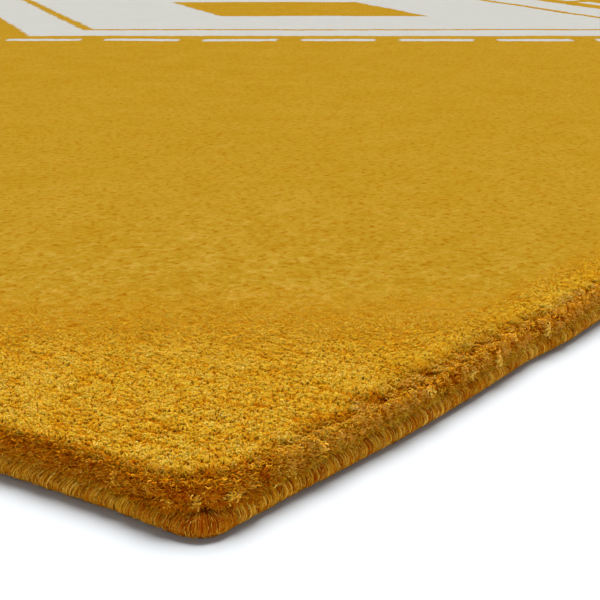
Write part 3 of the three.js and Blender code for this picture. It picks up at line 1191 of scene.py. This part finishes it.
def yarn_material():
    """The wound yarn: stripes that follow the winding, each with a bump of its own, and painted light and
    shade:
    the tone is lighter where the bump rises and darker in its grooves.
    """
    nodes = Nodes("overcast_yarn")
    place = nodes.object_place()
    unsteady = nodes.math("MULTIPLY", nodes.noise(place, 4), 1.3)
    wound = nodes.math("ADD", nodes.attribute("wound"), unsteady)
    stripe = nodes.math("DIVIDE", nodes.math("PINGPONG", wound, STRAND_PITCH), STRAND_PITCH)
    grain = nodes.noise(place, 0.5, 2.0, 0.6)
    tone = nodes.varied(nodes.varied(nodes.attribute("tone"), stripe, 0.35), grain, 0.3)
    height = nodes.math("ADD", stripe, nodes.math("MULTIPLY", grain, 0.5))
    return nodes.wool(wool_color(nodes, place, tone), height, 0.5, 0.8)


def strand_material():
    """A single strand: wool with fine streaks of shade."""
    nodes = Nodes("yarn_strand")
    place = nodes.object_place()
    grain = nodes.noise(place, 0.42, 2.0, 0.65)
    mottle = nodes.noise(place, 3.0)
    tone = nodes.varied(nodes.varied(nodes.attribute("tone"), grain, 0.50), mottle, 0.55)
    color = nodes.mix(1.0, wool_color(nodes, place, tone), STRAND_SHADE, "MULTIPLY")
    return nodes.wool(color, grain, 0.25, 0.8)


def corner_camera():
    """The camera that sees the rug's near corner at CORNER_PIXEL, at CORNER_SCALE millimetres a pixel."""
    forward = Vector((
        math.cos(CAMERA_PITCH) * HEADING[0],
        math.cos(CAMERA_PITCH) * HEADING[1],
        -math.sin(CAMERA_PITCH),
    ))
    right = Vector((*ACROSS, 0))
    up = right.cross(forward)
    corner = Vector((*NEAR_CORNER, 0))
    across = (CORNER_PIXEL[0] - PICTURE / 2) * CORNER_SCALE
    down = (CORNER_PIXEL[1] - PICTURE / 2) * CORNER_SCALE
    depth = FOCAL_PIXELS * CORNER_SCALE
    data = bpy.data.cameras.new("camera")
    data.sensor_width = SENSOR_WIDTH
    data.lens = SENSOR_WIDTH * FOCAL_PIXELS / PICTURE
    data.clip_start = NEAREST_SEEN_M
    data.clip_end = FARTHEST_SEEN_M
    camera = bpy.data.objects.new("camera", data)
    camera.location = (corner - forward * depth - right * across + up * down) * MM
    camera.rotation_euler = Matrix((right, up, -forward)).transposed().to_euler()
    bpy.context.collection.objects.link(camera)
    bpy.context.scene.camera = camera


def soft_light(name, way, rise, spread, energy):
    """A far light that shines from a way in plan, at an angle above the floor."""
    lamp = bpy.data.lights.new(name, "SUN")
    lamp.energy = energy
    lamp.angle = spread
    light = bpy.data.objects.new(name, lamp)
    towards = Vector((*(math.cos(rise) * way), math.sin(rise)))
    light.rotation_euler = towards.to_track_quat("Z", "Y").to_euler()
    bpy.context.collection.objects.link(light)


def studio():
    """A white floor in soft white light."""
    world = bpy.data.worlds.new("studio")
    bpy.context.scene.world = world
    world.use_nodes = True
    sky = world.node_tree.nodes["Background"]
    sky.inputs["Color"].default_value = (1, 1, 1, 1)
    sky.inputs["Strength"].default_value = SKY_STRENGTH
    corners = [(x * FLOOR_REACH_M, y * FLOOR_REACH_M, 0) for x, y in ((-1, -1), (1, -1), (1, 1), (-1, 1))]
    floor_mesh = bpy.data.meshes.new("floor")
    floor_mesh.from_pydata(corners, [], [(0, 1, 2, 3)])
    paint = bpy.data.materials.new("floor")
    paint.use_nodes = True
    shader = paint.node_tree.nodes["Principled BSDF"]
    shader.inputs["Base Color"].default_value = (*FLOOR_COLOR, 1)
    shader.inputs["Roughness"].default_value = 0.9
    shader.inputs["Specular IOR Level"].default_value = 0.0
    floor_mesh.materials.append(paint)
    floor = bpy.data.objects.new("floor", floor_mesh)
    bpy.context.collection.objects.link(floor)
    soft_light("key", HEADING, KEY_RISE, KEY_SPREAD, KEY_ENERGY)
    camera_side = np.array([math.cos(FILL_HEADING), math.sin(FILL_HEADING)])
    soft_light("fill", camera_side, FILL_RISE, FILL_SPREAD, FILL_ENERGY)
    bpy.context.scene.view_settings.view_transform = "Standard"


corner_camera()
studio()
pile = pile_material("wool_pile", LOCK_SHADE, 0.0, LOCK_GLOW)
curl = pile_material("wool_curl", CURL_SHADE, 0.0, CURL_GLOW)
ground = pile_material("wool_ground", GROUND_SHADE, 1.0)
yarn = yarn_material()
strand = strand_material()

field = make_field(ground)
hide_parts("pile_field")
extras = make_locks(np.random.default_rng(5), pile)
rng = np.random.default_rng(9)
extras.append(make_skirt(rng, pile))
extras.append(make_yarn_ends(rng, curl))
extras.append(make_curls(rng, curl))
extras.append(make_tufts(rng, curl))
for index, side in enumerate(SIDES):
    edge = make_bead(index, yarn)
    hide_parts(f"edge_binding_{side['name']}")
    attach(edge, "root")
    extras.append(edge)
for piece in [make_strands(rng, strand), make_edge_fuzz(rng, strand), make_fibres(rng, strand)]:
    extras.append(piece)
for piece in [field, *extras]:
    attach(piece, "root")
